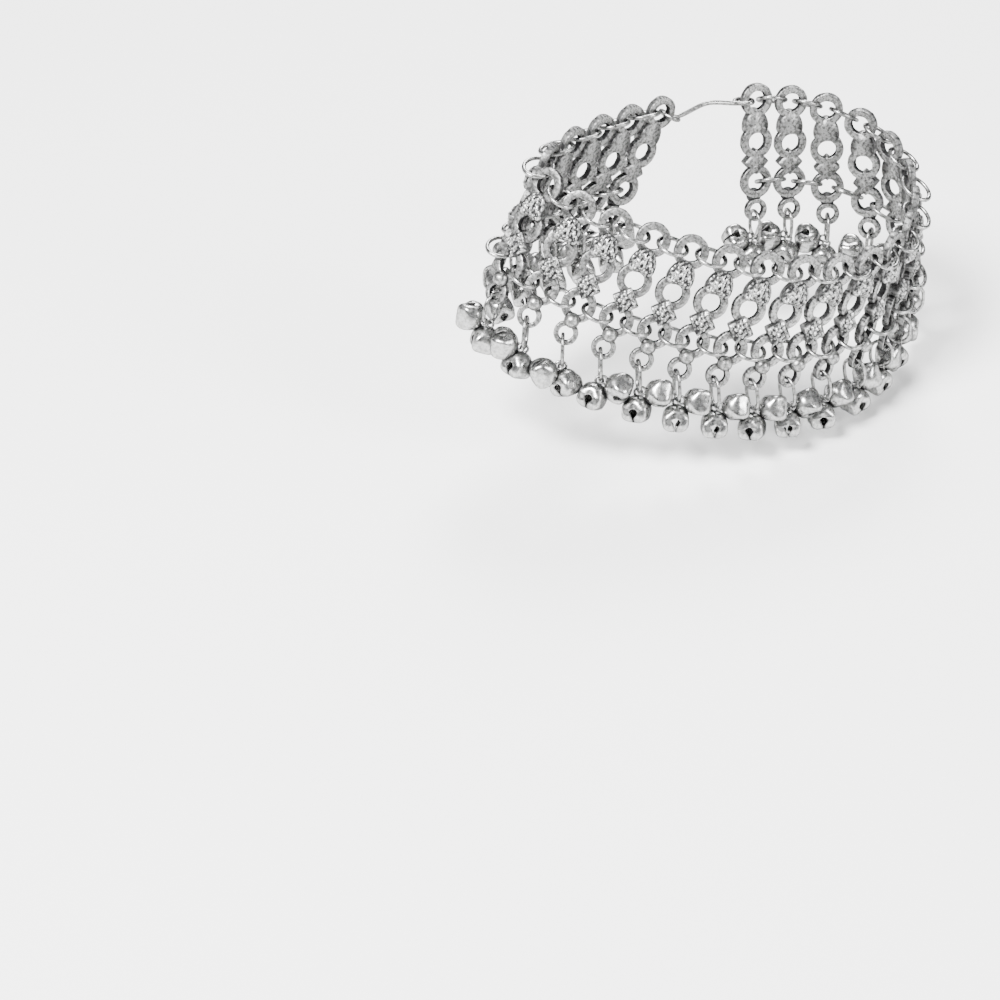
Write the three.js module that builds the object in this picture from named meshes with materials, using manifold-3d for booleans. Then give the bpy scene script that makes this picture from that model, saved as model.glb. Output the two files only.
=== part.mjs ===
// Worn anklet: a loop of cast bars joined by wire links, each bar carrying a pair of crimped bells.
// Millimetres, +Z up. The origin is the middle of the loop, where the band is held when it is worn.
import * as THREE from "three";
import { mergeVertices } from "three/addons/utils/BufferGeometryUtils.js";
import Module from "manifold-3d";

const wasm = await Module();
wasm.setup();

const { clamp, degToRad, lerp, smoothstep } = THREE.MathUtils;

// How finely the rim is measured, and how close two points are one
const RIM_DIVISIONS = 720;
const SAME_POINT = 1e-4;

// The loop in the band's own frame: an egg whose rim dips at the front
const LOOP_HALF_LENGTH = 49.6;
const LOOP_HALF_WIDTH = 24.7;
const LOOP_EGG = 0.37;
const LOOP_TURN = degToRad(27.5);
const RIM_SLOPE = 0.675;

// How far a bar's foot stands away per millimetre of fall: outward, more at the back of the loop,
// and along +X from one station's number to another, where the band widens downwards
const FLARE_FRONT = 0.02;
const FLARE_BACK = 0.31;
const FLARE_FROM_Y = 20;
const FLARE_FULL_Y = 35;
const SPREAD = 0.55;
const SPREAD_FROM = 13;
const SPREAD_FULL = 20;

// The lean of the band's frame in the room: back, to the side, and the turn about its own axis
const LEAN = new THREE.Euler(degToRad(-19.6), degToRad(24.1), degToRad(-6.4));

// Stations evenly spaced along the loop; the clasp takes the place of those without a bar
const STATION_COUNT = 26;
const BAR_COUNT = 24;
const FIRST_BAR_AT = 0.327;

// Cast bar: rings on one line, downwards from the centre of the top ring
const BAR_THICKNESS = 1.8;
const RING_OUTER = 4.4;
const RING_HOLE = 2.45;
const RING_2_DOWN = 11.2;
const RING_3_DOWN = 22;
const BALL_DOWN = 26.02;
const RING_4_DOWN = 29.7;
const SMALL_RING_OUTER = 3.1;
const SMALL_RING_HOLE = 1.85;
const HOLE_SIDES = 10;
const SMALL_HOLE_SIDES = 6;

// Arcs of the bar's outline down its left side, in degrees, each in so many straight steps
const TOP_ARC = { from: -57, to: 237, steps: 7 };
const SECOND_ARC = { from: 165, to: 232, steps: 1 };
const THIRD_ARC = { from: 128, to: 238, steps: 2 };
const LAST_ARC = { from: 130, to: 410, steps: 6 };

// Raised relief on the bar's face
const BUD_TOP_DOWN = 2.9;
const BUD_WIDE_DOWN = 7.2;
const BUD_BOTTOM_DOWN = 8.45;
const BUD_HALF_WIDTH = 3.3;
const SQUARE_DOWN = 16.6;
const SQUARE_HALF_DIAGONAL = 2.75;
const RELIEF_HEIGHT = 1.7;
const RELIEF_SINK = 0.05;
const RELIEF_MARGIN = 0.2;
const BALL_RADIUS = 1.7;
const BALL_SIDES = 6;
const BALL_RINGS = 4;
const BALL_SINK = 0.1;

// Rows of links: each is one wire that passes from bar to bar, in front of one gap and behind the next
const WIRE_SIDES = 5;
const LINK_WIRE = 0.4;
const LINK_FRONT = 5;
const LINK_BACK = 3.6;
const LINK_TAIL = 2.2;
const LINK_STEPS = 2;
const LINK_BULGE = 4.1;

// Jump rings
const RING_SIDES = 10;
const JUMP_RADIUS = 2.88;
const JUMP_WIRE = 0.375;
const JUMP_GAP = 0.65;
const JUMP_DRAWN = 2;

// Bells: profile from the eye at the top, and how each pair swings on its ring
const BELL_SIDES = 10;
const BELL_SHOULDER_DOWN = 3.4;
const BELL_SHOULDER_RADIUS = 3.35;
const BELL_SKIRT_DOWN = 6.9;
const BELL_SKIRT_RADIUS = 3.0;
const BELL_BOTTOM_DOWN = 8.3;
const BELL_SEAT = 0.13;
const DROP_LEAN_OUT = 0.4;

// How the pairs swing along the loop, up to each numbered drop: the hand that the high bell swings to,
// and the swing of the low and of the high bell to that hand, in degrees from straight down
const SWINGS = [
  { upTo: 6, hand: -1, low: 8, high: 90 },
  { upTo: 7, hand: -1, low: 18, high: 96 },
  { upTo: 8, hand: -1, low: -12, high: 64 },
  { upTo: 9, hand: 1, low: -22, high: 62 },
  { upTo: 15, hand: 1, low: -6, high: 80 },
  { upTo: 24, hand: 1, low: 8, high: 90 },
];

// Clasp hook
const CLASP_WIRE = 0.6;
const CLASP_STEPS = 26;
const CLASP_THROUGH = 1.4;
const CLASP_BEND = 3;
const CLASP_DEPTH = 2.8;
const CLASP_TIP = 5.4;
const CLASP_TIP_DEPTH = 1.9;
const CLASP_SHANK = 7;
const CLASP_SHANK_DEPTH = 1.2;

const castMetal = () => new THREE.MeshStandardMaterial({ color: 0xb4b4b2, roughness: 0.42, metalness: 1 });
const bellMetal = () => new THREE.MeshStandardMaterial({ color: 0xc4c4c4, roughness: 0.32, metalness: 1 });
const wireMetal = () => new THREE.MeshStandardMaterial({ color: 0xb8b8b6, roughness: 0.36, metalness: 1 });

// The rim through the centres of the top rings, in the band's frame
class Rim extends THREE.Curve {
  getPoint(share, target = new THREE.Vector3()) {
    const angle = 2 * Math.PI * share;
    const along = LOOP_HALF_LENGTH * Math.cos(angle);
    const across = LOOP_HALF_WIDTH * Math.sin(angle) * (1 + LOOP_EGG * Math.cos(angle));
    const x = along * Math.cos(LOOP_TURN) - across * Math.sin(LOOP_TURN);
    const y = along * Math.sin(LOOP_TURN) + across * Math.cos(LOOP_TURN);
    return target.set(x, y, RIM_SLOPE * y);
  }
}

const rim = new Rim();
rim.arcLengthDivisions = RIM_DIVISIONS;

// A bar's frame: across to the right seen from outside, up along the bar, and outward
function station(index) {
  const share = (FIRST_BAR_AT + index / STATION_COUNT) % 1;
  const centre = rim.getPointAt(share);
  const tangent = rim.getTangentAt(share);
  const level = new THREE.Vector3(tangent.y, -tangent.x, 0).normalize();
  const back = clamp((centre.y - FLARE_FROM_Y) / (FLARE_FULL_Y - FLARE_FROM_Y), 0, 1);
  const spread = SPREAD * smoothstep(index, SPREAD_FROM, SPREAD_FULL);
  const down = new THREE.Vector3(spread, 0, -1);
  down.addScaledVector(level, lerp(FLARE_FRONT, FLARE_BACK, back)).normalize();
  const across = tangent.clone().addScaledVector(down, -tangent.dot(down)).normalize();
  const outward = new THREE.Vector3().crossVectors(down, across);
  const matrix = new THREE.Matrix4().makeBasis(across, down.clone().negate(), outward).setPosition(centre);
  return { centre, across, down, outward, level, matrix };
}

// A closed solid from a geometry, with triangles that shrink to a line at a pole left out
function solidOf(geometry) {
  const bare = geometry.clone();
  bare.deleteAttribute("normal");
  bare.deleteAttribute("uv");
  const merged = mergeVertices(bare, SAME_POINT);
  const corners = merged.index.array;
  const kept = [];
  for (let i = 0; i < corners.length; i += 3) {
    const [a, b, c] = corners.subarray(i, i + 3);
    if (a !== b && b !== c && c !== a) kept.push(a, b, c);
  }
  const vertProperties = merged.attributes.position.array;
  return new wasm.Manifold(new wasm.Mesh({ numProp: 3, vertProperties, triVerts: new Uint32Array(kept) }));
}

function geometryOf(solid) {
  const mesh = solid.getMesh();
  const geometry = new THREE.BufferGeometry();
  geometry.setAttribute("position", new THREE.BufferAttribute(mesh.vertProperties, mesh.numProp));
  geometry.setIndex(new THREE.BufferAttribute(mesh.triVerts, 1));
  geometry.computeVertexNormals();
  return geometry;
}

function joined(geometries) {
  return geometryOf(geometries.map(solidOf).reduce((whole, next) => whole.add(next)));
}

function arc(downTo, radius, { from, to, steps }) {
  const points = [];
  for (let i = 0; i <= steps; i += 1) {
    const angle = degToRad(lerp(from, to, i / steps));
    points.push(new THREE.Vector2(radius * Math.cos(angle), radius * Math.sin(angle) - downTo));
  }
  return points;
}

// The arc on the right side that matches one on the left, walked upwards
function mirrored({ from, to, steps }) {
  return { from: 540 - to, to: 540 - from, steps };
}

// A polygon that stands for a round hole: its flats and corners lie equally in and out of the circle
function hole(downTo, radius, sides) {
  const half = 180 / sides;
  const reach = (2 * radius) / (1 + Math.cos(degToRad(half)));
  const turn = { from: half, to: half + 360, steps: sides };
  return new THREE.Path(arc(downTo, reach, turn).slice(0, sides));
}

// A low pyramid of relief: its sides run from the peak through the corners that it shows on the face
function relief(corners, peakDown) {
  const face = BAR_THICKNESS / 2;
  const peak = new THREE.Vector3(0, -peakDown, face + RELIEF_HEIGHT);
  const spread = (RELIEF_HEIGHT + RELIEF_SINK) / RELIEF_HEIGHT;
  const base = corners.map(([x, down]) => {
    const corner = new THREE.Vector3(x, -down, face);
    return corner.sub(peak).multiplyScalar(spread).add(peak);
  });
  const triangles = [];
  base.forEach((corner, i) => triangles.push(corner, base[(i + 1) % base.length], peak));
  for (let i = 1; i < base.length - 1; i += 1) triangles.push(base[0], base[i + 1], base[i]);
  return new THREE.BufferGeometry().setFromPoints(triangles);
}

// The cast bar in its own frame, centred on the top ring
function barGeometry() {
  const outline = [
    ...arc(0, RING_OUTER, TOP_ARC),
    new THREE.Vector2(-BUD_HALF_WIDTH - RELIEF_MARGIN, -BUD_WIDE_DOWN),
    ...arc(RING_2_DOWN, RING_OUTER, SECOND_ARC),
    new THREE.Vector2(-SQUARE_HALF_DIAGONAL - RELIEF_MARGIN, -SQUARE_DOWN),
    ...arc(RING_3_DOWN, RING_OUTER, THIRD_ARC),
    ...arc(RING_4_DOWN, SMALL_RING_OUTER, LAST_ARC),
    ...arc(RING_3_DOWN, RING_OUTER, mirrored(THIRD_ARC)),
    new THREE.Vector2(SQUARE_HALF_DIAGONAL + RELIEF_MARGIN, -SQUARE_DOWN),
    ...arc(RING_2_DOWN, RING_OUTER, mirrored(SECOND_ARC)),
    new THREE.Vector2(BUD_HALF_WIDTH + RELIEF_MARGIN, -BUD_WIDE_DOWN),
  ];
  const shape = new THREE.Shape(outline);
  shape.holes.push(
    hole(0, RING_HOLE, HOLE_SIDES),
    hole(RING_2_DOWN, RING_HOLE, HOLE_SIDES),
    hole(RING_3_DOWN, RING_HOLE, HOLE_SIDES),
    hole(RING_4_DOWN, SMALL_RING_HOLE, SMALL_HOLE_SIDES),
  );
  const plate = new THREE.ExtrudeGeometry(shape, { depth: BAR_THICKNESS, bevelEnabled: false });
  plate.translate(0, 0, -BAR_THICKNESS / 2);
  const bud = relief(
    [
      [0, BUD_TOP_DOWN],
      [-BUD_HALF_WIDTH, BUD_WIDE_DOWN],
      [0, BUD_BOTTOM_DOWN],
      [BUD_HALF_WIDTH, BUD_WIDE_DOWN],
    ],
    (BUD_WIDE_DOWN + BUD_TOP_DOWN) / 2,
  );
  const square = relief(
    [
      [0, SQUARE_DOWN - SQUARE_HALF_DIAGONAL],
      [-SQUARE_HALF_DIAGONAL, SQUARE_DOWN],
      [0, SQUARE_DOWN + SQUARE_HALF_DIAGONAL],
      [SQUARE_HALF_DIAGONAL, SQUARE_DOWN],
    ],
    SQUARE_DOWN,
  );
  const ball = new THREE.SphereGeometry(BALL_RADIUS, BALL_SIDES, BALL_RINGS).rotateX(Math.PI / 2);
  ball.translate(0, -BALL_DOWN, BAR_THICKNESS / 2 - BALL_SINK);
  return joined([plate, bud, square, ball]);
}

// A point beside a bar: so far down it from the top ring, to the right and outward
function beside(place, down, right, out) {
  const point = place.centre.clone().addScaledVector(place.down, down);
  return point.addScaledVector(place.across, right).addScaledVector(place.outward, out);
}

// A round wire swept along a path
function wireAlong(path, radius, steps) {
  const section = [];
  for (let i = 0; i < WIRE_SIDES; i += 1) {
    const angle = (2 * Math.PI * i) / WIRE_SIDES;
    section.push(new THREE.Vector2(radius * Math.cos(angle), radius * Math.sin(angle)));
  }
  return new THREE.ExtrudeGeometry(new THREE.Shape(section), { steps, extrudePath: path });
}

// A smooth path that takes as many steps from each of its points to the next, however far apart they are
class EvenPath extends THREE.CatmullRomCurve3 {
  getUtoTmapping(share) {
    return share;
  }
}

// One row of links, through the middles of the rings that lie so far down the bars
function rowGeometry(places, down) {
  const first = places[0];
  const last = places[places.length - 1];
  const points = [beside(first, down, 0, LINK_TAIL), beside(first, down, 0, 0)];
  places.slice(1).forEach((next, index) => {
    const place = places[index];
    const outward = place.outward.clone().add(next.outward).normalize();
    const bulge = LINK_BULGE * place.across.dot(outward);
    const out = index % 2 === 0 ? -LINK_BACK : LINK_FRONT;
    const hole = beside(next, down, 0, 0);
    const middle = beside(place, down, 0, 0).lerp(hole, 0.5);
    points.push(middle.addScaledVector(outward, out + bulge), hole);
  });
  points.push(beside(last, down, 0, LINK_TAIL));
  return wireAlong(new EvenPath(points), LINK_WIRE, LINK_STEPS * (points.length - 1));
}

// A jump ring in the XY plane, with a flat of its wire outwards and a corner of the ring towards +X:
// an oval, its lower half drawn away from the upper
function jumpRingGeometry() {
  const section = [];
  for (let i = 0; i <= WIRE_SIDES; i += 1) {
    const angle = Math.PI + (2 * Math.PI * i) / WIRE_SIDES;
    section.push(new THREE.Vector2(JUMP_RADIUS + JUMP_WIRE * Math.cos(angle), JUMP_WIRE * Math.sin(angle)));
  }
  const ring = new THREE.LatheGeometry(section, RING_SIDES, Math.PI / 2).rotateX(Math.PI / 2);
  const points = ring.getAttribute("position");
  for (let i = 0; i < points.count; i += 1) {
    if (points.getX(i) > 0) points.setX(i, points.getX(i) + JUMP_DRAWN);
  }
  return ring;
}

// One bell, hanging down from its crown at the origin
function bellGeometry() {
  const profile = [
    new THREE.Vector2(0, -BELL_BOTTOM_DOWN),
    new THREE.Vector2(BELL_SKIRT_RADIUS, -BELL_SKIRT_DOWN),
    new THREE.Vector2(BELL_SHOULDER_RADIUS, -BELL_SHOULDER_DOWN),
    new THREE.Vector2(0, 0),
  ];
  return new THREE.LatheGeometry(profile, BELL_SIDES);
}

// The jump ring and its two bells: they hang down in the room while the bars lean with the band.
// Each bell is held on a flat of the wire, one below the ring and one on the side it swings to.
function dropGeometry(place, { hand, low, high }) {
  const upright = new THREE.Quaternion().setFromEuler(LEAN).invert();
  const fall = new THREE.Vector3(0, 0, -1).applyQuaternion(upright);
  fall.addScaledVector(place.level, DROP_LEAN_OUT * Math.max(0, -place.level.y)).normalize();
  const side = place.across.clone().addScaledVector(fall, -place.across.dot(fall)).normalize();
  const front = new THREE.Vector3().crossVectors(fall, side);
  const inner = JUMP_RADIUS - JUMP_WIRE - JUMP_GAP;
  const hangs = Math.sqrt(inner * inner - (BAR_THICKNESS * BAR_THICKNESS) / 4);
  const centre = beside(place, RING_4_DOWN + SMALL_RING_HOLE, 0, 0).addScaledVector(fall, hangs);
  const jump = jumpRingGeometry().applyMatrix4(
    new THREE.Matrix4().makeBasis(fall, front, side.clone().negate()).setPosition(centre),
  );
  const flatAway = JUMP_WIRE * Math.cos(Math.PI / WIRE_SIDES) - BELL_SEAT;
  const halfStep = Math.PI / RING_SIDES;
  const bells = [
    { around: -halfStep, flat: 0, swing: degToRad(low) },
    { around: halfStep, flat: (2 * Math.PI) / WIRE_SIDES, swing: degToRad(high) },
  ].map(({ around, flat, swing }) => {
    const radial = fall.clone().multiplyScalar(Math.cos(around)).addScaledVector(front, Math.sin(around));
    const crown = centre.clone().addScaledVector(fall, JUMP_DRAWN);
    crown.addScaledVector(radial, JUMP_RADIUS * Math.cos(halfStep));
    crown.addScaledVector(radial, flatAway * Math.cos(flat));
    crown.addScaledVector(side, hand * flatAway * Math.sin(flat));
    const up = fall.clone().multiplyScalar(-Math.cos(swing)).addScaledVector(side, -hand * Math.sin(swing));
    const third = new THREE.Vector3().crossVectors(front, up);
    return bellGeometry().applyMatrix4(new THREE.Matrix4().makeBasis(front, up, third).setPosition(crown));
  });
  return joined([jump, ...bells]);
}

// The clasp: a long hook through the top rings of the two end bars
function claspGeometry(last, first) {
  const middle = station(BAR_COUNT - 1 + (STATION_COUNT - BAR_COUNT + 1) / 2);
  const path = new THREE.CatmullRomCurve3([
    beside(last, 0, CLASP_TIP, CLASP_TIP_DEPTH),
    beside(last, 0, CLASP_BEND, CLASP_DEPTH),
    beside(last, 0, CLASP_THROUGH, 0),
    beside(last, 0, CLASP_BEND, -CLASP_DEPTH),
    beside(last, 0, CLASP_SHANK, -CLASP_SHANK_DEPTH),
    middle.centre,
    beside(first, 0, -CLASP_SHANK, CLASP_SHANK_DEPTH),
    beside(first, 0, -CLASP_BEND, CLASP_DEPTH),
    beside(first, 0, -CLASP_THROUGH, 0),
    beside(first, 0, -CLASP_BEND, -CLASP_DEPTH),
    beside(first, 0, -CLASP_TIP, -CLASP_TIP_DEPTH),
  ]);
  return wireAlong(path, CLASP_WIRE, CLASP_STEPS);
}

const anklet = new THREE.Group();
const band = new THREE.Group();
band.rotation.copy(LEAN);
anklet.add(band);

function addPiece(name, geometry, material) {
  const piece = new THREE.Mesh(geometry, material);
  piece.name = name;
  band.add(piece);
  return piece;
}

const bar = barGeometry();
const places = Array.from({ length: BAR_COUNT }, (_, index) => station(index));
places.forEach((place, index) => {
  const number = String(index + 1).padStart(2, "0");
  const swings = SWINGS.find((row) => index < row.upTo);
  addPiece(`bar_${number}`, bar, castMetal()).applyMatrix4(place.matrix);
  addPiece(`drop_${number}`, dropGeometry(place, swings), bellMetal());
});
addPiece("links_upper", rowGeometry(places, 0), wireMetal());
addPiece("links_lower", rowGeometry(places, RING_3_DOWN), wireMetal());
addPiece("clasp", claspGeometry(places[BAR_COUNT - 1], places[0]), wireMetal());

export default anklet;
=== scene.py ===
# Worn anklet: cast bars of rings and pebbled relief on wire links,
# each bar with a pair of crimped bells on a jump ring.
import math
import random
from bisect import bisect_right

import bmesh
import bpy
from mathutils import Matrix, Vector, noise


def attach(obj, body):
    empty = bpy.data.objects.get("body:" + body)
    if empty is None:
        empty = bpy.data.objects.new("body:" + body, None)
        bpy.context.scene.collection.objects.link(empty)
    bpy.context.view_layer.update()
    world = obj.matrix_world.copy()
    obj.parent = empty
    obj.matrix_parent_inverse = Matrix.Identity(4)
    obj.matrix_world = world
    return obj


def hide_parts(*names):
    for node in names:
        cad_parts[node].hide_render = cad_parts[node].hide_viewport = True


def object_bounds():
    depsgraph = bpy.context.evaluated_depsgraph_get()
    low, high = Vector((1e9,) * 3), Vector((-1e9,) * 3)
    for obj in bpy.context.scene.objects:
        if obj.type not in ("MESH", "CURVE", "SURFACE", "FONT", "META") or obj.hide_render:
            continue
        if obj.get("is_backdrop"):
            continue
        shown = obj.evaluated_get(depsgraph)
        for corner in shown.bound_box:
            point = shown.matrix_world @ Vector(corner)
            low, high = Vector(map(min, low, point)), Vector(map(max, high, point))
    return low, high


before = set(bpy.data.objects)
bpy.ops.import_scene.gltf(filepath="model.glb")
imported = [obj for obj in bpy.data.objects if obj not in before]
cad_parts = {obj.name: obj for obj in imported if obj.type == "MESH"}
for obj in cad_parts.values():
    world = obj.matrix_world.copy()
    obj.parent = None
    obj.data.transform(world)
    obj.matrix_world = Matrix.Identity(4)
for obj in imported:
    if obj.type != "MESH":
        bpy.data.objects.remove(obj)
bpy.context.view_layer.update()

MM = 0.001

# Lengths are in millimetres. The loop in the band's own frame: the part's own driving sizes
LOOP_HALF_LENGTH = 49.6
LOOP_HALF_WIDTH = 24.7
LOOP_EGG = 0.37
LOOP_TURN = math.radians(27.5)
RIM_SLOPE = 0.675
FLARE_FRONT = 0.02
FLARE_BACK = 0.31
FLARE_FROM_Y = 20
FLARE_FULL_Y = 35
SPREAD = 0.55
SPREAD_FROM = 13
SPREAD_FULL = 20
RIM_DIVISIONS = 720
TANGENT_STEP = 1e-4
STATION_COUNT = 26
BAR_COUNT = 24
FIRST_BAR_AT = 0.327
LEAN = (
    Matrix.Rotation(math.radians(-19.6), 4, "X")
    @ Matrix.Rotation(math.radians(24.1), 4, "Y")
    @ Matrix.Rotation(math.radians(-6.4), 4, "Z")
)

# Cast bar, downwards from the top ring's centre
BAR_THICKNESS = 1.8
RING_OUTER = 4.4
RING_HOLE = 2.45
RING_2_DOWN = 11.2
RING_3_DOWN = 22
RING_4_DOWN = 29.7
SMALL_RING_OUTER = 3.1
SMALL_RING_HOLE = 1.85
SMALL_RING_THICKNESS = 1.6
BALL_DOWN = 26.02
BALL_RADIUS = 2.0
BALL_OUT = 1.15
RELIEF_STEP = 0.85
RELIEF_HEIGHT = 2.25
SQUARE_DOWN = 16.6
SQUARE_HALF_DIAGONAL = 3.5
SQUARE_QUARTER = [(0.0, 1.0), (0.13, 0.91), (0.52, 0.52), (0.91, 0.13)]
SQUARE_STEPS = 6
SQUARE_ROWS = 22
SQUARE_PEAK = 1.3
EDGE_RADIUS = 0.24
EDGE_STEPS = 3
RING_SEGMENTS = 60
SMALL_RING_SEGMENTS = 44
BALL_SEGMENTS = 28
BALL_RINGS = 14

# How dark the metal lies, from 0 on a rubbed ridge to 1 in a pit: tarnish in the pits and creases,
# painted shade on the walls, and painted shadow round the nuggets' rims and on the ball's lower half
PLAIN = 0.2
WALL_SHADE = 0.58
HOLE_SHADE = 0.85
BLOTCH_TARNISH = 0.4
PIT_TARNISH = 0.92
BROW_SHADOW = 0.6
FOLD_TARNISH = 0.75
DIMPLE_TARNISH = 0.45
WAIST_TARNISH = 0.5

# The rings' uneven casting: how much it swells, and swells and blotches to a millimetre
CAST_SWELL = 0.08
SWELLS_PER_MM = 0.9
BLOTCHES_PER_MM = 1.6
BLOTCH_FULL = 0.45

# The nuggets' crushed relief: coarse and fine lumps to a millimetre along each axis, with their shares,
# the heights at which pits and ridges show, how it calms towards the edge, and where the painted shadow
# round its rim begins
CRUSH_DEPTH = 0.33
CRUSH_COARSE = Vector((1.6, 1.15, 1.2))
CRUSH_FINE = Vector((3.2, 2.3, 2.4))
COARSE_SHARE = 1.7
FINE_SHARE = 1.3
CRUSH_SLANT = 0.7
PIT_FULL = 0.6
RIDGE_FROM = 0.2
RIDGE_FULL = 0.8
CALM_FROM = 0.7
EDGE_CALM = 0.9
BROW_FROM = 0.95
ROW_CROWDING = 0.85

# Bud, with its outline on one side: distance from the middle line, and down from the top ring's centre
BUD_MIDDLE_DOWN = 6.3
BUD_STEPS = 8
BUD_ROWS = 24
BUD_PEAK = 2.2
BUD_SIDE = [
    (0.0, 2.3),
    (1.5, 2.9),
    (2.7, 4.3),
    (3.35, 6.1),
    (3.4, 7.7),
    (2.75, 8.95),
    (1.5, 9.05),
    (0.0, 8.75),
]

# Wire of the links, jump rings and clasp
LINK_WIRE = 0.54
LINK_RADIUS = 3.8
LINK_CLEAR = 0.14
LINK_SAG = 0.4
LINK_BULGE = 0.3
JUMP_RADIUS = 2.88
JUMP_WIRE = 0.46
JUMP_GAP = 0.65
JUMP_DRAWN = 2
JUMP_BLEND = 0.9
WIRE_SECTION = 10
WIRE_SEGMENTS = 44
CLASP_WIRE = 0.6
CLASP_SECTION = 12
CLASP_STEPS = 12
CAP_SHARE = 0.7
SAME_POINT = 1e-4

# Sides of the solids' jump ring, across its wire and around it, whose flats the bells hang at
WIRE_SIDES = 5
JUMP_SIDES = 10

# Bells, downwards from the crown: eye, dome, waist, and two petals parted by a slit with keyholes
BELL_SEAT = 0.13
EYE_RADIUS = 0.95
EYE_WIRE = 0.32
EYE_DOWN = 0.5
EYE_SECTION = 8
EYE_SEGMENTS = 24
DOME_TOP_DOWN = 1.25
DOME_POWER = 2.3
DOME_ROWS = 8
WAIST_DOWN = 4.0
WAIST_RADIUS = 3.5
PINCH_DEPTH = 0.12
PINCH_BELOW_WAIST = 0.15
PINCH_WIDTH = 0.18
WAIST_LINE_BELOW = 0.18
WAIST_LINE_WIDTH = 0.2
SKIRT_FULLNESS = 0.06
SKIRT_POWER = 5
SKIRT_ROWS = 7
BELL_BOTTOM_DOWN = 8.3
LOW_ROWS = 6
LOW_CROWDING = 1.6
LEAST_RADIUS = 0.25
KEYHOLE_TOP_DOWN = 4.45
KEYHOLE_WIDE_DOWN = 5.2
KEYHOLE_POINT_DOWN = 7.2
KEYHOLE_HALF_WIDTH = 1.15
ARCH_ROWS = 5
ARCH_CROWDING = 1.7
SLIT_HALF_WIDTH = 0.2
PETAL_COLUMNS = 29
PETAL_LEAST_ANGLE = 0.02
SHEET_THICKNESS = 0.3
SAME_SHEET_POINT = 0.004

# A bell's plan goes from round above the waist to nearly square below it
ROUND_PLAN = 2.1
SQUARE_PLAN = 6.5
SQUARE_FROM_DOWN = WAIST_DOWN - 1.2
SQUARE_FULL_DOWN = WAIST_DOWN + 0.8
SQUARE_FIT = 0.93

# Crimping: a dimple above each keyhole, the petals' folded lips, and dents
DIMPLE_FROM_DOWN = WAIST_DOWN - 1.8
DIMPLE_DEPTH = 0.38
DIMPLE_SHARE = 0.2
FOLD_DEPTH = 0.22
FOLD_SHARE = 0.12
BELL_DENTS = 0.16
DENTS_PER_MM = 0.55

# How the drops hang: degrees from straight down of the low and the high bell of the bars before up_to,
# towards the side given by hand, and the bells' turn about their own axes
DROP_LEAN_OUT = 0.4
ROLLS = {"low": 62, "high": 22}
ROLL_SPREAD = 18
ROLL_SEED = 7
SWINGS = [
    {"up_to": 6, "hand": -1, "low": 8, "high": 90},
    {"up_to": 7, "hand": -1, "low": 18, "high": 96},
    {"up_to": 8, "hand": -1, "low": -12, "high": 64},
    {"up_to": 9, "hand": 1, "low": -22, "high": 62},
    {"up_to": 15, "hand": 1, "low": -6, "high": 80},
    {"up_to": 24, "hand": 1, "low": 8, "high": 90},
]

# Clasp: right and outward of an end ring's centre, from its tip to its shank
CLASP_HOOK = [(5.4, 1.9), (3.0, 2.8), (1.4, 0.0), (3.0, -2.8), (7.0, -1.2)]

# Camera: the photograph's view, with the loop's centre at this pixel and depth
IMAGE_SIZE = 1000
CAMERA_ELEVATION = math.radians(35)
SENSOR_WIDTH = 36
FOCAL_FACTOR = 3.0
LOOP_PIXEL = (731.4, 181.5)
LOOP_DEPTH = 764.7

# Studio, in metres and watts
FLOOR_REACH = 3.0
FLOOR_BELOW = 0.002
FLOOR_COLOUR = (0.93, 0.93, 0.925, 1)
FLOOR_ROUGHNESS = 0.7
SKY_COLOUR = (0.93, 0.94, 0.96, 1)
SKY_STRENGTH = 0.35
LIGHTS = [
    {"name": "key", "place": (-0.5, -0.55, 0.95), "size": 0.45, "power": 62},
    {"name": "fill", "place": (0.9, -0.5, 0.6), "size": 0.5, "power": 16},
    {"name": "back", "place": (0.1, 0.9, 0.8), "size": 0.5, "power": 26},
]


def clamp(value, low, high):
    return max(low, min(high, value))


def smooth(edge_0, edge_1, value):
    share = clamp((value - edge_0) / (edge_1 - edge_0), 0, 1)
    return share * share * (3 - 2 * share)


def mixed(a, b, share):
    return a + (b - a) * share


# Places along the loop


def rim(share):
    angle = 2 * math.pi * share
    along = LOOP_HALF_LENGTH * math.cos(angle)
    across = LOOP_HALF_WIDTH * math.sin(angle) * (1 + LOOP_EGG * math.cos(angle))
    x = along * math.cos(LOOP_TURN) - across * math.sin(LOOP_TURN)
    y = along * math.sin(LOOP_TURN) + across * math.cos(LOOP_TURN)
    return Vector((x, y, RIM_SLOPE * y))


rim_lengths = [0.0]
for step in range(RIM_DIVISIONS):
    chord = rim((step + 1) / RIM_DIVISIONS) - rim(step / RIM_DIVISIONS)
    rim_lengths.append(rim_lengths[-1] + chord.length)


def share_at(part_of_length):
    target = part_of_length * rim_lengths[-1]
    low = min(bisect_right(rim_lengths, target) - 1, RIM_DIVISIONS - 1)
    within = (target - rim_lengths[low]) / (rim_lengths[low + 1] - rim_lengths[low])
    return (low + within) / RIM_DIVISIONS


class Station:
    """A bar's place in the band's frame: across to the right from outside, down the bar, and outward."""

    def __init__(self, index):
        share = share_at((FIRST_BAR_AT + index / STATION_COUNT) % 1)
        self.centre = rim(share)
        tangent = (rim(share + TANGENT_STEP) - rim(share - TANGENT_STEP)).normalized()
        self.level = Vector((tangent.y, -tangent.x, 0)).normalized()
        back = clamp((self.centre.y - FLARE_FROM_Y) / (FLARE_FULL_Y - FLARE_FROM_Y), 0, 1)
        spread = SPREAD * smooth(SPREAD_FROM, SPREAD_FULL, index)
        flare = mixed(FLARE_FRONT, FLARE_BACK, back)
        self.down = (Vector((spread, 0, -1)) + flare * self.level).normalized()
        self.across = (tangent - tangent.dot(self.down) * self.down).normalized()
        self.outward = self.down.cross(self.across)

    def beside(self, down, right, out):
        return self.centre + down * self.down + right * self.across + out * self.outward


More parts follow.
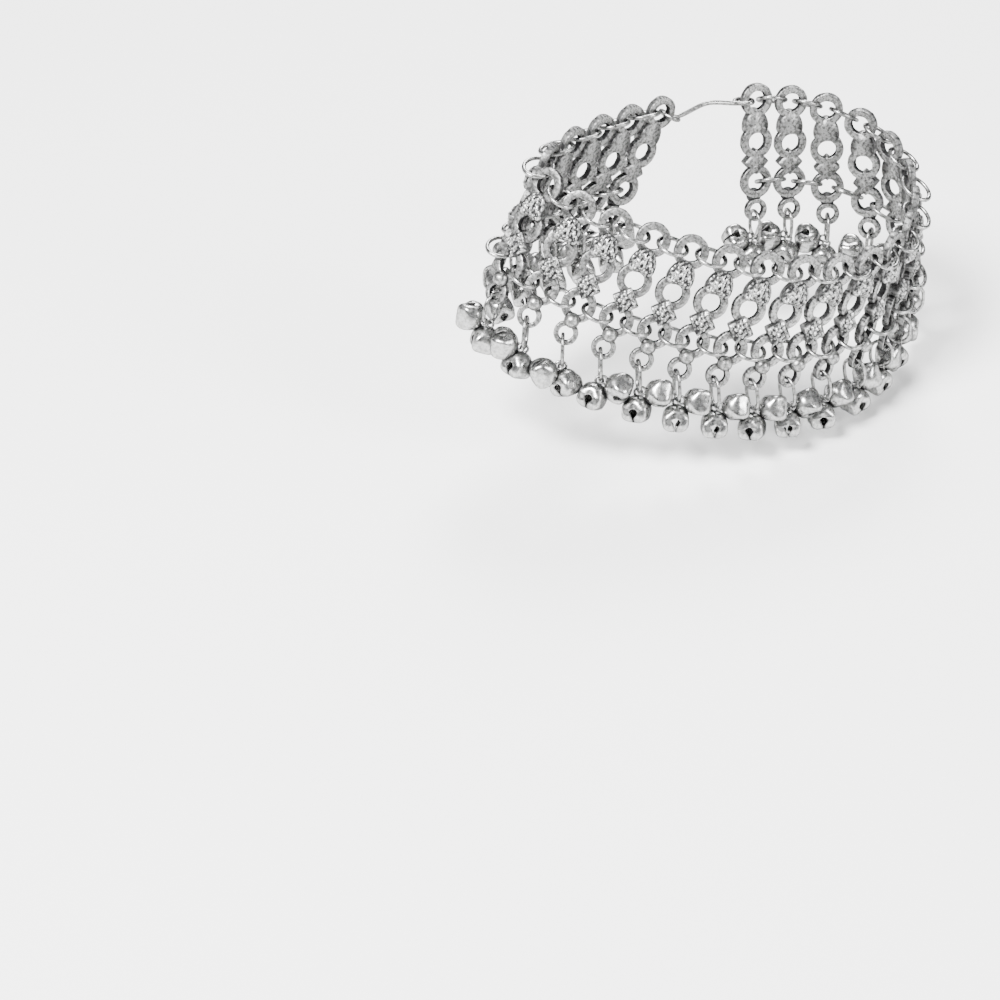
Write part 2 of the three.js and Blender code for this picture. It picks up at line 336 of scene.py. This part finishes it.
def placed(x_axis, y_axis, z_axis, origin):
    """The row-frame matrix of a piece with these axes and origin in the band's frame."""
    turned = Matrix((x_axis, y_axis, z_axis)).transposed().to_4x4()
    turned.translation = origin * MM
    return LEAN @ turned


stations = [Station(index) for index in range(BAR_COUNT)]


# Meshes


class Skin:
    """Points in millimetres, how dark the metal lies at each, and the faces between them."""

    def __init__(self):
        self.points = []
        self.faces = []
        self.crevices = []

    def point(self, position, crevice=PLAIN):
        self.points.append(Vector(position))
        self.crevices.append(clamp(crevice, 0, 1))
        return len(self.points) - 1

    def row(self, positions, crevices=None):
        crevices = crevices or [PLAIN] * len(positions)
        return [self.point(p, c) for p, c in zip(positions, crevices)]

    def bridge(self, row, next_row, wrap=True):
        count = len(row)
        for i in range(count if wrap else count - 1):
            j = (i + 1) % count
            self.faces.append((row[i], row[j], next_row[j], next_row[i]))

    def fan(self, row, tip):
        for i, corner in enumerate(row):
            self.faces.append((corner, row[(i + 1) % len(row)], tip))

    def closed_grid(self, rows):
        for row, next_row in zip(rows, rows[1:] + rows[:1]):
            self.bridge(row, next_row)

    def mesh(self, name, join=0.0, thickness=0.0, turn=None):
        shell = bmesh.new()
        for position in self.points:
            shell.verts.new((turn @ position if turn else position) * MM)
        shell.verts.ensure_lookup_table()
        layer = shell.verts.layers.float.new("crevice")
        for vertex, crevice in zip(shell.verts, self.crevices):
            vertex[layer] = crevice
        for corners in self.faces:
            shell.faces.new([shell.verts[i] for i in corners])
        if join:
            bmesh.ops.remove_doubles(shell, verts=shell.verts[:], dist=join * MM)
        bmesh.ops.recalc_face_normals(shell, faces=shell.faces[:])
        if thickness:
            bmesh.ops.solidify(shell, geom=shell.faces[:], thickness=thickness * MM)
        data = bpy.data.meshes.new(name)
        shell.to_mesh(data)
        shell.free()
        data.polygons.foreach_set("use_smooth", [True] * len(data.polygons))
        return data


def add_piece(name, data, material, matrix=None):
    data.materials.clear()
    data.materials.append(material)
    piece = bpy.data.objects.new(name, data)
    bpy.context.scene.collection.objects.link(piece)
    if matrix is not None:
        piece.matrix_world = matrix
    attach(piece, "root")
    return piece


def catmull_rom(points, steps, closed=False):
    """A smooth curve through points, in even steps between neighbours, with centripetal spacing."""
    count = len(points)
    spans = count if closed else count - 1
    result = []
    for span in range(spans):
        if closed:
            a, b, c, d = (points[(span + k) % count] for k in (-1, 0, 1, 2))
        else:
            b, c = points[span], points[span + 1]
            a = points[span - 1] if span else 2 * b - c
            d = points[span + 2] if span + 2 < count else 2 * c - b
        knots = [0.0]
        for start, end in ((a, b), (b, c), (c, d)):
            knots.append(knots[-1] + math.sqrt(max((end - start).length, SAME_POINT)))
        for step in range(steps):
            t = mixed(knots[1], knots[2], step / steps)
            level = [a, b, c, d]
            for width in (1, 2, 3):
                level = [
                    mixed(level[k], level[k + 1], blend_share(knots, width, k, t))
                    for k in range(len(level) - 1)
                ]
            result.append(level[0])
    if not closed:
        result.append(points[-1].copy())
    return result


def blend_share(knots, width, k, t):
    """Where t lies between the two knots that one level of the curve's pyramid blends."""
    low, high = knots[k], knots[k + 1]
    if width == 2:
        high = knots[k + 2]
    if width == 3:
        low, high = knots[1], knots[2]
    return (t - low) / (high - low)


def round_section(radius, sides):
    """Outward and upward places round a wire's section, all of plain metal."""
    turns = [2 * math.pi * k / sides for k in range(sides)]
    return [(radius * math.cos(t), radius * math.sin(t), PLAIN) for t in turns]


def plate_section(half_width, half_height):
    """Places round a flat casting's section: bright faces, softly rounded edges, and walls darkened with
    painted shade.
    """
    places = []
    for quarter in range(4):
        middle = (quarter + 0.5) * math.pi / 2
        out = math.copysign(half_width - EDGE_RADIUS, math.cos(middle))
        up = math.copysign(half_height - EDGE_RADIUS, math.sin(middle))
        for step in range(EDGE_STEPS + 1):
            turn = (quarter + step / EDGE_STEPS) * math.pi / 2
            # Painted shade: the outer walls and the hole's walls are darkened
            wall = mixed(PLAIN, WALL_SHADE if out > 0 else HOLE_SHADE, math.cos(turn) ** 2)
            places.append((out + EDGE_RADIUS * math.cos(turn), up + EDGE_RADIUS * math.sin(turn), wall))
    return places


def add_ring(skin, centre, x_axis, y_axis, radius, section, segments, rough=0.0):
    """A ring of a section about the centre, in the plane of its two axes."""
    z_axis = x_axis.cross(y_axis)
    rows = []
    for segment in range(segments):
        angle = 2 * math.pi * segment / segments
        radial = math.cos(angle) * x_axis + math.sin(angle) * y_axis
        positions = []
        crevices = []
        for out, up, crevice in section:
            position = centre + (radius + out) * radial + up * z_axis
            swell = rough * noise.noise(position * SWELLS_PER_MM)
            positions.append(position + swell * (out * radial + up * z_axis))
            stain = -noise.noise(position * BLOTCHES_PER_MM)
            blotch = smooth(0.0, BLOTCH_FULL, stain) if rough else 0.0
            crevices.append(crevice + BLOTCH_TARNISH * blotch)
        rows.append(skin.row(positions, crevices))
    skin.closed_grid(rows)


def add_tube(skin, path, radius, sides):
    """A round wire along a path, with rounded ends."""
    normal = (path[1] - path[0]).orthogonal().normalized()
    rows = []
    for i, position in enumerate(path):
        tangent = (path[min(i + 1, len(path) - 1)] - path[max(i - 1, 0)]).normalized()
        normal = (normal - normal.dot(tangent) * tangent).normalized()
        side = tangent.cross(normal)
        turns = [2 * math.pi * k / sides for k in range(sides)]
        rows.append([position + radius * (math.cos(t) * normal + math.sin(t) * side) for t in turns])
    for end, inner, sign in ((0, 1, -1), (-1, -2, 1)):
        outwards = (path[end] - path[inner]).normalized()
        tip = path[end] + CAP_SHARE * radius * outwards
        cap = [tip + CAP_SHARE * (p - path[end]) for p in rows[end]]
        if sign < 0:
            rows.insert(0, cap)
        else:
            rows.append(cap)
    indices = [skin.row(row) for row in rows]
    for row, next_row in zip(indices, indices[1:]):
        skin.bridge(row, next_row)
    skin.fan(indices[0], skin.point(path[0] + radius * (path[0] - path[1]).normalized()))
    skin.fan(indices[-1], skin.point(path[-1] + radius * (path[-1] - path[-2]).normalized()))


# Cast bar


def crushed(position):
    """Height of the crushed cast surface, from -1 in a pit to 1 on a facet."""
    coarse = noise.noise(position * CRUSH_COARSE)
    fine = noise.noise(position * CRUSH_FINE)
    return clamp(COARSE_SHARE * coarse + FINE_SHARE * fine, -1, 1)


def add_nugget(skin, outline, middle, height, peak_power, rows):
    """A pebbled boss over an outline: a raised crown with a painted shadow round its rim, walls down to
    the bar's back darkened with painted shade, and a flat back.
    """
    face = BAR_THICKNESS / 2
    grid = []
    for step in range(1, rows + 1):
        share = (step / rows) ** ROW_CROWDING
        positions = []
        crevices = []
        for corner in outline:
            flat = middle.lerp(corner, share)
            rise = mixed(height, RELIEF_STEP, share**peak_power)
            position = Vector((flat.x, flat.y, face + rise))
            crush = crushed(position)
            slant = (corner - middle).normalized() * share
            lift = Vector((slant.x * CRUSH_SLANT, slant.y * CRUSH_SLANT, 1)).normalized()
            depth = CRUSH_DEPTH * (1 - EDGE_CALM * smooth(CALM_FROM, 1.0, share))
            positions.append(position + depth * crush * lift)
            # Pits hold dark tarnish and ridges are rubbed bright; painted shadow darkens the rim of the
            # crown
            crevice = mixed(PLAIN, PIT_TARNISH, smooth(0.0, PIT_FULL, -crush))
            crevice -= PLAIN * smooth(RIDGE_FROM, RIDGE_FULL, crush)
            crevices.append(max(crevice, BROW_SHADOW * smooth(BROW_FROM, 1.0, share)))
        grid.append(skin.row(positions, crevices))
    skin.fan(grid[0], skin.point((middle.x, middle.y, face + height)))
    wall_rows = [
        {"draw_in": 0.0, "height": face + 0.6 * RELIEF_STEP},
        {"draw_in": 0.01, "height": face},
        {"draw_in": 0.02, "height": -0.3},
        {"draw_in": 0.08, "height": -face},
    ]
    for wall_row in wall_rows:
        level = Vector((0, 0, wall_row["height"]))
        wall = [middle.lerp(corner, 1 - wall_row["draw_in"]).to_3d() + level for corner in outline]
        # Painted shade on the nugget's walls
        grid.append(skin.row(wall, [WALL_SHADE] * len(wall)))
    for row, next_row in zip(grid, grid[1:]):
        skin.bridge(row, next_row)
    skin.fan(grid[-1], skin.point((middle.x, middle.y, -face)))


def bar_mesh():
    skin = Skin()
    x_axis, y_axis = Vector((1, 0, 0)), Vector((0, 1, 0))
    middle_radius = (RING_OUTER + RING_HOLE) / 2
    section = plate_section((RING_OUTER - RING_HOLE) / 2, BAR_THICKNESS / 2)
    for down in (0, RING_2_DOWN, RING_3_DOWN):
        centre = Vector((0, -down, 0))
        add_ring(skin, centre, x_axis, y_axis, middle_radius, section, RING_SEGMENTS, CAST_SWELL)
    small_radius = (SMALL_RING_OUTER + SMALL_RING_HOLE) / 2
    section = plate_section((SMALL_RING_OUTER - SMALL_RING_HOLE) / 2, SMALL_RING_THICKNESS / 2)
    centre = Vector((0, -RING_4_DOWN, 0))
    add_ring(skin, centre, x_axis, y_axis, small_radius, section, SMALL_RING_SEGMENTS, CAST_SWELL)

    side = [Vector((x, -down)) for x, down in BUD_SIDE]
    mirrored = [Vector((-p.x, p.y)) for p in reversed(side[1:-1])]
    bud = catmull_rom(side + mirrored, BUD_STEPS, closed=True)
    add_nugget(skin, bud, Vector((0, -BUD_MIDDLE_DOWN)), RELIEF_HEIGHT, BUD_PEAK, BUD_ROWS)

    reach = SQUARE_HALF_DIAGONAL
    quarter = [Vector((x * reach, y * reach)) for x, y in SQUARE_QUARTER]
    middle = Vector((0, -SQUARE_DOWN))
    corners = []
    for turn in range(4):
        spin = Matrix.Rotation(-turn * math.pi / 2, 2)
        corners += [spin @ p + middle for p in quarter]
    square = catmull_rom(corners, SQUARE_STEPS, closed=True)
    add_nugget(skin, square, middle, RELIEF_HEIGHT, SQUARE_PEAK, SQUARE_ROWS)

    add_ball(skin, Vector((0, -BALL_DOWN, BALL_OUT)), BALL_RADIUS)
    return skin.mesh("bar")


def add_ball(skin, centre, radius):
    """A ball that is bright on top, with painted shade darkening its lower half where it sinks into the
    casting.
    """
    turns = [2 * math.pi * k / BALL_SEGMENTS for k in range(BALL_SEGMENTS)]
    rows = []
    for ring in range(1, BALL_RINGS):
        fall = math.pi * ring / BALL_RINGS
        reach = radius * math.sin(fall)
        z = radius * math.cos(fall)
        # Painted shade: darker from below the ball's middle down towards the casting
        sunk_shade = mixed(PLAIN, HOLE_SHADE, smooth(0.4, 0.05, z / radius))
        row = [centre + Vector((reach * math.cos(t), reach * math.sin(t), z)) for t in turns]
        rows.append(skin.row(row, [sunk_shade] * BALL_SEGMENTS))
    for row, next_row in zip(rows, rows[1:]):
        skin.bridge(row, next_row)
    skin.fan(rows[0], skin.point(centre + Vector((0, 0, radius))))
    skin.fan(rows[-1], skin.point(centre - Vector((0, 0, radius))))


# Links


def back_edge(station, down, towards):
    """Where a ring's hole meets its back face on the side towards a neighbour."""
    along = (towards - towards.dot(station.outward) * station.outward).normalized()
    return station.beside(down, 0, -BAR_THICKNESS / 2) + RING_HOLE * along


def link_row_mesh(name, down):
    """A ring through each pair of neighbouring bars, so far down them, that hangs a little forward."""
    section = round_section(LINK_WIRE, WIRE_SECTION)
    skin = Skin()
    for first, second in zip(stations, stations[1:]):
        chord = second.beside(down, 0, 0) - first.beside(down, 0, 0)
        start = back_edge(first, down, chord)
        end = back_edge(second, down, -chord)
        half_span = (end - start).length / 2
        right = (end - start).normalized()
        outward = first.outward + second.outward
        outward = (outward - outward.dot(right) * right).normalized()
        reach = max(LINK_RADIUS - LINK_WIRE - LINK_CLEAR, half_span + LINK_BULGE)
        centre = (start + end) / 2 + math.sqrt(reach**2 - half_span**2) * outward
        sagged = (outward + LINK_SAG * first.down).normalized()
        radius = reach + LINK_WIRE + LINK_CLEAR
        add_ring(skin, centre, right, sagged, radius, section, WIRE_SEGMENTS)
    return skin.mesh(name, turn=LEAN)


# Drops


def bump_at(distance):
    """A smooth bump: 1 at no distance, and almost nothing from 2 on."""
    return math.exp(-(distance**2))


def bell_radius(down):
    """The bell's radius so far down: a dome, a pinched waist, a full skirt and petals folded under."""
    if down <= WAIST_DOWN:
        rise = 1 - (down - DOME_TOP_DOWN) / (WAIST_DOWN - DOME_TOP_DOWN)
        return WAIST_RADIUS * math.sqrt(max(0.0, 1 - rise**DOME_POWER))
    skirt = (down - WAIST_DOWN) / (BELL_BOTTOM_DOWN - WAIST_DOWN)
    pinch = PINCH_DEPTH * bump_at((down - WAIST_DOWN - PINCH_BELOW_WAIST) / PINCH_WIDTH)
    return (WAIST_RADIUS + SKIRT_FULLNESS) * math.sqrt(1 - skirt**SKIRT_POWER) - pinch


def slit_half_width(down):
    """Half the opening between two petals: a keyhole that narrows downwards into a slit."""
    if down <= KEYHOLE_WIDE_DOWN:
        rise = clamp((down - KEYHOLE_TOP_DOWN) / (KEYHOLE_WIDE_DOWN - KEYHOLE_TOP_DOWN), 0, 1)
        return KEYHOLE_HALF_WIDTH * math.sqrt(1 - (1 - rise) ** 2)
    narrowed = smooth(KEYHOLE_WIDE_DOWN, KEYHOLE_POINT_DOWN, down)
    return mixed(KEYHOLE_HALF_WIDTH, SLIT_HALF_WIDTH, narrowed)


def bell_row_downs():
    """How far down each row of the bell's sheet lies, closest together where it bends most."""
    dome = [(k / DOME_ROWS) ** ARCH_CROWDING for k in range(1, DOME_ROWS + 1)]
    arch = [(k / ARCH_ROWS) ** ARCH_CROWDING for k in range(ARCH_ROWS + 1)]
    skirt = [k / SKIRT_ROWS for k in range(1, SKIRT_ROWS + 1)]
    low = [1 - (1 - k / LOW_ROWS) ** LOW_CROWDING for k in range(1, LOW_ROWS + 1)]
    downs = [mixed(DOME_TOP_DOWN, WAIST_DOWN, share) for share in dome]
    downs += [mixed(KEYHOLE_TOP_DOWN, KEYHOLE_WIDE_DOWN, share) for share in arch]
    downs += [mixed(KEYHOLE_WIDE_DOWN, KEYHOLE_POINT_DOWN, share) for share in skirt]
    return downs + [mixed(KEYHOLE_POINT_DOWN, BELL_BOTTOM_DOWN, share) for share in low]


def bell_mesh():
    """Two petals of thin sheet under one dome, parted by the slit and its keyholes."""
    skin = Skin()
    quarter_turn = math.pi / 2
    crown_row = []
    for petal in range(2):
        rows = []
        for down in bell_row_downs():
            radius = max(bell_radius(down), LEAST_RADIUS)
            plan = mixed(ROUND_PLAN, SQUARE_PLAN, smooth(SQUARE_FROM_DOWN, SQUARE_FULL_DOWN, down))
            slit_angle = min(slit_half_width(down) / radius, quarter_turn - PETAL_LEAST_ANGLE)
            half_angle = quarter_turn - slit_angle
            dimpled = smooth(DIMPLE_FROM_DOWN, KEYHOLE_TOP_DOWN, down)
            folded = smooth(KEYHOLE_TOP_DOWN, KEYHOLE_WIDE_DOWN, down)
            dented = BELL_DENTS * smooth(DOME_TOP_DOWN, WAIST_DOWN, down)
            waist = bump_at((down - WAIST_DOWN - WAIST_LINE_BELOW) / WAIST_LINE_WIDTH)
            positions = []
            crevices = []
            for column in range(PETAL_COLUMNS):
                across = mixed(-1, 1, column / (PETAL_COLUMNS - 1))
                turn = across * half_angle
                c, s = abs(math.cos(turn)), abs(math.sin(turn))
                reach = radius * SQUARE_FIT / (c**plan + s**plan) ** (1 / plan)
                edge = (quarter_turn - abs(turn)) / quarter_turn
                dimple = dimpled * bump_at(edge / DIMPLE_SHARE)
                fold = folded * bump_at((1 - abs(across)) / FOLD_SHARE)
                reach -= DIMPLE_DEPTH * dimple * (1 - fold) + FOLD_DEPTH * fold
                angle = petal * math.pi + turn
                position = Vector((reach * math.cos(angle), -down, reach * math.sin(angle)))
                dent = dented * noise.noise(position * DENTS_PER_MM)
                positions.append(position + dent * Vector((position.x, 0, position.z)).normalized())
                darkening = max(FOLD_TARNISH * fold, DIMPLE_TARNISH * dimple, WAIST_TARNISH * waist)
                crevices.append(max(PLAIN, darkening))
            rows.append(skin.row(positions, crevices))
        for row, next_row in zip(rows, rows[1:]):
            skin.bridge(row, next_row, wrap=False)
        crown_row += rows[0][:-1]
    skin.fan(crown_row, skin.point((0, -DOME_TOP_DOWN, 0)))
    return skin.mesh("bell", join=SAME_SHEET_POINT, thickness=SHEET_THICKNESS)


def eye_mesh():
    skin = Skin()
    centre = Vector((0, -EYE_DOWN, 0))
    y_axis, z_axis = Vector((0, 1, 0)), Vector((0, 0, 1))
    section = round_section(EYE_WIRE, EYE_SECTION)
    add_ring(skin, centre, y_axis, z_axis, EYE_RADIUS, section, EYE_SEGMENTS)
    return skin.mesh("bell_eye")


def jump_ring_mesh():
    """A wire ring drawn out along x, the way it hangs, into an oval."""
    skin = Skin()
    x_axis, y_axis = Vector((1, 0, 0)), Vector((0, 1, 0))
    section = round_section(JUMP_WIRE, WIRE_SECTION)
    add_ring(skin, Vector((0, 0, 0)), x_axis, y_axis, JUMP_RADIUS, section, WIRE_SEGMENTS)
    for position in skin.points:
        position.x += JUMP_DRAWN * smooth(-JUMP_BLEND, JUMP_BLEND, position.x)
    return skin.mesh("jump_ring")


class Drop:
    """Where a jump ring and its two bells hang from a bar, in the band's frame."""

    def __init__(self, station, swing):
        gravity = LEAN.to_3x3().inverted() @ Vector((0, 0, -1))
        lean_out = DROP_LEAN_OUT * max(0, -station.level.y)
        fall = (gravity + lean_out * station.level).normalized()
        side = (station.across - station.across.dot(fall) * fall).normalized()
        front = fall.cross(side)
        inner = JUMP_RADIUS - JUMP_WIRE - JUMP_GAP
        hangs = math.sqrt(inner**2 - BAR_THICKNESS**2 / 4)
        centre = station.beside(RING_4_DOWN + SMALL_RING_HOLE, 0, 0) + hangs * fall
        self.ring = placed(fall, front, -side, centre)
        half_step = math.pi / JUMP_SIDES
        flat_away = JUMP_WIRE * math.cos(math.pi / WIRE_SIDES) - BELL_SEAT
        self.bells = {}
        flats = (("low", -half_step, 0), ("high", half_step, 2 * math.pi / WIRE_SIDES))
        for name, around, flat in flats:
            radial = math.cos(around) * fall + math.sin(around) * front
            crown = centre + JUMP_DRAWN * fall
            crown += (JUMP_RADIUS * math.cos(half_step) + flat_away * math.cos(flat)) * radial
            crown += swing["hand"] * flat_away * math.sin(flat) * side
            angle = math.radians(swing[name])
            up = -math.cos(angle) * fall - swing["hand"] * math.sin(angle) * side
            self.bells[name] = placed(front, up, front.cross(up), crown)


# Materials


# The dark colour: tarnish in the pits and creases, and painted shade on walls, rims, the ball's lower
# half and sheltered spots
TARNISH_AND_SHADE = (0.024, 0.024, 0.025)
RUBBED = (0.8, 0.8, 0.79)
EDGE_TINT = (0.22, 0.22, 0.225, 1)

# Noise to a metre of surface, and lengths of the finish in millimetres
MOTTLE_SCALE = 1300
FLECK_SCALE = 3400
SATIN_SCALE = 900
GRAIN_SCALE = 1900
GRAIN_HEIGHT = 0.06
SHELTER_REACH = 1.1
SHELTER_SAMPLES = 6
DEEPEST = 0.94
RUBBED_SHARE = 0.7
TARNISH_ROUGHNESS = 0.25


def antiqued_metal(name, bright, worn, roughness, darkening, flecks, grain):
    """Silver-tone metal: mottled satin, rubbed bright where it stands out, dark where it is deep, and
    darkened with painted shade where parts shelter each other.
    """
    material = bpy.data.materials.new(name)
    material.use_nodes = True
    tree = material.node_tree
    shader = tree.nodes["Principled BSDF"]
    shader.inputs["Metallic"].default_value = 1.0
    shader.inputs["Specular Tint"].default_value = EDGE_TINT

    def node(kind, **settings):
        made = tree.nodes.new(kind)
        for key, value in settings.items():
            setattr(made, key, value)
        return made

    def noise_of(scale, detail):
        texture = node("ShaderNodeTexNoise")
        texture.inputs["Scale"].default_value = scale
        texture.inputs["Detail"].default_value = detail
        tree.links.new(place.outputs["Object"], texture.inputs["Vector"])
        return texture.outputs["Fac"]

    def ranged(source, found, wanted):
        """Goes smoothly from one wanted end to the other while the source crosses the found range."""
        scale = node("ShaderNodeMapRange", interpolation_type="SMOOTHSTEP")
        sockets = ("From Min", "From Max", "To Min", "To Max")
        for socket, value in zip(sockets, (*found, *wanted)):
            scale.inputs[socket].default_value = value
        tree.links.new(source, scale.inputs["Value"])
        return scale.outputs["Result"]

    def joined(operation, a, b):
        combine = node("ShaderNodeMath", operation=operation, use_clamp=True)
        for socket, value in zip(combine.inputs, (a, b)):
            if isinstance(value, float):
                socket.default_value = value
            else:
                tree.links.new(value, socket)
        return combine.outputs["Value"]

    def blended(factor, a, b):
        mix = node("ShaderNodeMix", data_type="RGBA")
        tree.links.new(factor, mix.inputs["Factor"])
        colours = [socket for socket in mix.inputs if socket.type == "RGBA"]
        for socket, value in zip(colours, (a, b)):
            if isinstance(value, tuple):
                socket.default_value = (*value, 1)
            else:
                tree.links.new(value, socket)
        return next(socket for socket in mix.outputs if socket.type == "RGBA")

    place = node("ShaderNodeTexCoord")
    mottle = ranged(noise_of(MOTTLE_SCALE, 5), (0.44, 0.6), (0.0, 1.0))
    fleck = ranged(noise_of(FLECK_SCALE, 3), (0.56, 0.66), (0.0, flecks))
    crevice = node("ShaderNodeAttribute", attribute_name="crevice").outputs["Fac"]
    # Painted shade: an ambient-occlusion node darkens the colour where parts crowd each other, as deep
    # as darkening says
    shelter = node("ShaderNodeAmbientOcclusion", samples=SHELTER_SAMPLES)
    shelter.inputs["Distance"].default_value = SHELTER_REACH * MM
    sheltered = ranged(shelter.outputs["AO"], (0.3, 0.98), (darkening, 0.0))
    deep = joined("MAXIMUM", ranged(crevice, (0.25, 0.95), (0.0, DEEPEST)), sheltered)
    deep = joined("MAXIMUM", deep, fleck)
    metal = blended(mottle, (bright, bright, 0.99 * bright), (worn, worn, 0.98 * worn))
    metal = blended(ranged(crevice, (0.0, PLAIN), (RUBBED_SHARE, 0.0)), metal, RUBBED)
    # Deep places take the dark colour: tarnish in the pits and creases, painted shade on walls, rims and
    # sheltered spots
    tree.links.new(blended(deep, metal, TARNISH_AND_SHADE), shader.inputs["Base Color"])
    satin = ranged(noise_of(SATIN_SCALE, 3), (0.3, 0.7), (roughness - 0.07, roughness + 0.08))
    dulled = joined("MULTIPLY", deep, TARNISH_ROUGHNESS)
    tree.links.new(joined("ADD", satin, dulled), shader.inputs["Roughness"])
    bump = node("ShaderNodeBump")
    bump.inputs["Strength"].default_value = grain
    bump.inputs["Distance"].default_value = GRAIN_HEIGHT * MM
    tree.links.new(noise_of(GRAIN_SCALE, 4), bump.inputs["Height"])
    tree.links.new(bump.outputs["Normal"], shader.inputs["Normal"])
    return material


cast_metal = antiqued_metal(
    "cast_metal", bright=0.42, worn=0.17, roughness=0.38, darkening=0.95, flecks=0.7, grain=0.9
)
bell_metal = antiqued_metal(
    "bell_metal", bright=0.46, worn=0.32, roughness=0.27, darkening=0.9, flecks=0.2, grain=0.25
)
wire_metal = antiqued_metal(
    "wire_metal", bright=0.4, worn=0.22, roughness=0.3, darkening=0.9, flecks=0.25, grain=0.3
)


# The anklet

bar_data = bar_mesh()
bell_data = bell_mesh()
eye_data = eye_mesh()
ring_data = jump_ring_mesh()
rolls = random.Random(ROLL_SEED)
for index, station in enumerate(stations):
    number = f"{index + 1:02d}"
    matrix = placed(station.across, -station.down, station.outward, station.centre)
    bar = add_piece(f"bar_{number}_cast", bar_data, cast_metal, matrix)
    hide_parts(f"bar_{number}")
    swing = next(row for row in SWINGS if index < row["up_to"])
    drop = Drop(station, swing)
    ring = add_piece(f"drop_{number}_ring", ring_data, wire_metal, drop.ring)
    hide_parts(f"drop_{number}")
    for hang, hung in drop.bells.items():
        degrees = rolls.uniform(-ROLL_SPREAD, ROLL_SPREAD) + ROLLS[hang]
        roll = Matrix.Rotation(math.radians(degrees), 4, "Y")
        add_piece(f"drop_{number}_{hang}_bell", bell_data, bell_metal, hung @ roll)
        add_piece(f"drop_{number}_{hang}_eye", eye_data, wire_metal, hung)

for name, down in (("links_upper", 0), ("links_lower", RING_3_DOWN)):
    row = add_piece(f"{name}_rings", link_row_mesh(name, down), wire_metal)
    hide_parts(name)

first, last = stations[0], stations[-1]
middle = Station(BAR_COUNT - 1 + (STATION_COUNT - BAR_COUNT + 1) / 2)
hook = [last.beside(0, right, out) for right, out in CLASP_HOOK] + [middle.centre]
hook += [first.beside(0, -right, -out) for right, out in reversed(CLASP_HOOK)]
clasp_skin = Skin()
add_tube(clasp_skin, catmull_rom(hook, CLASP_STEPS), CLASP_WIRE, CLASP_SECTION)
clasp = add_piece("clasp_hook", clasp_skin.mesh("clasp", turn=LEAN), wire_metal)
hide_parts("clasp")


# Floor, light and camera


def pale_floor(height):
    data = bpy.data.meshes.new("floor")
    ways = ((-1, -1), (1, -1), (1, 1), (-1, 1))
    corners = [(x * FLOOR_REACH, y * FLOOR_REACH, height) for x, y in ways]
    data.from_pydata(corners, [], [(0, 1, 2, 3)])
    material = bpy.data.materials.new("floor")
    material.use_nodes = True
    shader = material.node_tree.nodes["Principled BSDF"]
    shader.inputs["Base Color"].default_value = FLOOR_COLOUR
    shader.inputs["Roughness"].default_value = FLOOR_ROUGHNESS
    data.materials.append(material)
    floor = bpy.data.objects.new("floor", data)
    bpy.context.scene.collection.objects.link(floor)
    floor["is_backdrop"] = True


def soft_light(name, place, size, power):
    """A round lamp that shines on the origin."""
    data = bpy.data.lights.new(name, "AREA")
    data.shape = "DISK"
    data.size = size
    data.energy = power
    light = bpy.data.objects.new(name, data)
    light.location = place
    light.rotation_euler = (-Vector(place)).to_track_quat("-Z", "Y").to_euler()
    bpy.context.scene.collection.objects.link(light)


pale_floor(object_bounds()[0].z - FLOOR_BELOW)
for light in LIGHTS:
    soft_light(**light)
world = bpy.data.worlds.new("studio")
world.use_nodes = True
sky = world.node_tree.nodes["Background"]
sky.inputs["Color"].default_value = SKY_COLOUR
sky.inputs["Strength"].default_value = SKY_STRENGTH
bpy.context.scene.world = world

camera_data = bpy.data.cameras.new("camera")
camera_data.sensor_width = SENSOR_WIDTH
camera_data.lens = SENSOR_WIDTH * FOCAL_FACTOR
camera_data.clip_start = 0.01
camera = bpy.data.objects.new("camera", camera_data)
camera.rotation_euler = (math.pi / 2 - CAMERA_ELEVATION, 0, 0)
per_pixel = LOOP_DEPTH / (FOCAL_FACTOR * IMAGE_SIZE)
right = (IMAGE_SIZE / 2 - LOOP_PIXEL[0]) * per_pixel
up = (LOOP_PIXEL[1] - IMAGE_SIZE / 2) * per_pixel
turn = camera.rotation_euler.to_matrix()
camera.location = turn @ Vector((right, up, LOOP_DEPTH)) * MM
bpy.context.scene.collection.objects.link(camera)
bpy.context.scene.camera = camera
